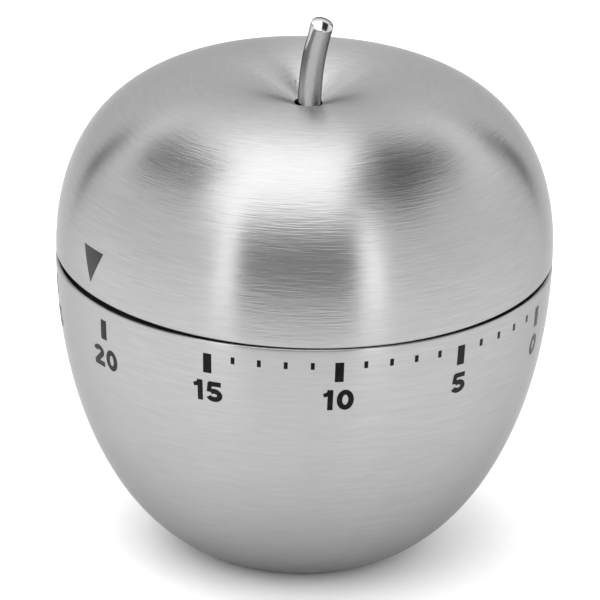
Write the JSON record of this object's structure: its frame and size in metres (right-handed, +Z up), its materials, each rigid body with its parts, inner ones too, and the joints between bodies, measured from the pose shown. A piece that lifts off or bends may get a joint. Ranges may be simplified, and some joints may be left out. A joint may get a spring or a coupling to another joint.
{
  "type": "kitchen timer",
  "caption": "Apple-shaped mechanical kitchen timer: brushed steel dome that turns as the dial, bent stem, fixed lower half with a minute scale, clockwork and bell inside.",
  "frame": {"origin": "centre of the foot ring's resting face, on the dial's axis", "axes": "+Z up along the dial's axis towards the stem; -Y is the front of the printed scale, +X to its right"},
  "size_m": [0.06, 0.06, 0.0678],
  "materials": {
    "brushed_steel": "brushed round the axis, satin",
    "polished_steel": "polished",
    "blued_steel": "blued spring steel",
    "screw_steel": "machined and plated",
    "brass": "stamped, fine grain",
    "black_plastic": "moulded, fine matt texture",
    "nylon": "moulded, satin",
    "rubber": "matt"
  },
  "bodies": {
    "base": {"movement_housing": "black_plastic", "lower_shell": "brushed_steel", "base_cover": "black_plastic", "lower_plate": "brass", "bell": "polished_steel", "upper_plate": "brass", "mainspring": "blued_steel", "hairspring": "blued_steel", "hammer_spring": "blued_steel", "bell_post": "screw_steel", "foot_ring": "rubber", "base_screw_1": "screw_steel", "base_screw_2": "screw_steel", "base_screw_3": "screw_steel", "plate_screw_1": "screw_steel", "plate_screw_2": "screw_steel", "plate_screw_3": "screw_steel", "housing_screw_1": "screw_steel", "housing_screw_2": "screw_steel", "housing_screw_3": "screw_steel", "bell_screw": "screw_steel", "pillar_1": "screw_steel", "pillar_2": "screw_steel", "pillar_3": "screw_steel", "spring_post": "screw_steel", "hairspring_stud": "screw_steel"},
    "dial": {"dome": "brushed_steel", "dial_liner": "black_plastic", "stem": "polished_steel", "stem_washer": "screw_steel", "stem_nut": "screw_steel", "main_shaft": "polished_steel", "ratchet_wheel": "screw_steel", "trip_finger": "screw_steel"},
    "great": {"great_wheel": "brass", "click_rivet": "screw_steel", "click_spring": "blued_steel"},
    "click": {"click": "screw_steel"},
    "second": {"second_arbor": "polished_steel", "second_wheel": "brass"},
    "third": {"third_arbor": "polished_steel", "third_wheel": "nylon"},
    "escape": {"escape_arbor": "polished_steel", "escape_wheel": "brass"},
    "pallet": {"pallet_lever": "brass", "pallet_arbor": "polished_steel", "entry_pin": "polished_steel", "exit_pin": "polished_steel"},
    "balance": {"balance_wheel": "brass", "balance_staff": "polished_steel", "impulse_pin": "polished_steel"},
    "hammer": {"hammer_arbor": "polished_steel", "hammer_arm": "screw_steel", "hammer_head": "brass", "hammer_tail": "blued_steel"}
  },
  "joints": [
    {"name": "dial_turn", "type": "hinge", "parent": "base", "child": "dial", "pos_m": [0, 0, 0.0371], "axis": [0, 0, 1], "range_deg": [-234, 126]},
    {"name": "great_turn", "type": "hinge", "parent": "base", "child": "great", "pos_m": [0, 0, 0.0251], "axis": [0, 0, 1], "range_deg": [-234, 126]},
    {"name": "click_lift", "type": "hinge", "parent": "great", "child": "click", "pos_m": [0.00531, 0.0059, 0.0262], "axis": [0, 0, 1], "range_deg": [0, 8]},
    {"name": "second_turn", "type": "hinge", "parent": "base", "child": "second", "pos_m": [0.0118, 0, 0.01778], "axis": [0, 0, 1], "range_deg": [-1134, 2106]},
    {"name": "third_turn", "type": "hinge", "parent": "base", "child": "third", "pos_m": [0.00921, 0.00957, 0.01778], "axis": [0, 0, 1], "range_deg": [-16848, 9072]},
    {"name": "escape_turn", "type": "hinge", "parent": "base", "child": "escape", "pos_m": [0.00077, 0.01394, 0.01778], "axis": [0, 0, 1], "range_deg": [-60480, 112320]},
    {"name": "balance_swing", "type": "hinge", "parent": "base", "child": "balance", "pos_m": [-0.00938, 0.00897, 0.01778], "axis": [0, 0, 1], "range_deg": [-25, 25]},
    {"name": "pallet_swing", "type": "hinge", "parent": "base", "child": "pallet", "pos_m": [-0.00421, 0.01352, 0.01778], "axis": [0, 0, 1], "range_deg": [-5.7, 5.7]},
    {"name": "hammer_swing", "type": "hinge", "parent": "base", "child": "hammer", "pos_m": [-0.00931, -0.01329, 0.01778], "axis": [0, 0, 1], "range_deg": [-10, 4]}
  ],
  "couplings": [
    {"joint": "great_turn", "follows": "dial_turn", "ratio": 1},
    {"joint": "second_turn", "follows": "dial_turn", "ratio": -9},
    {"joint": "third_turn", "follows": "dial_turn", "ratio": 72},
    {"joint": "escape_turn", "follows": "dial_turn", "ratio": -480},
    {"joint": "pallet_swing", "follows": "balance_swing", "ratio": -0.228}
  ]
}
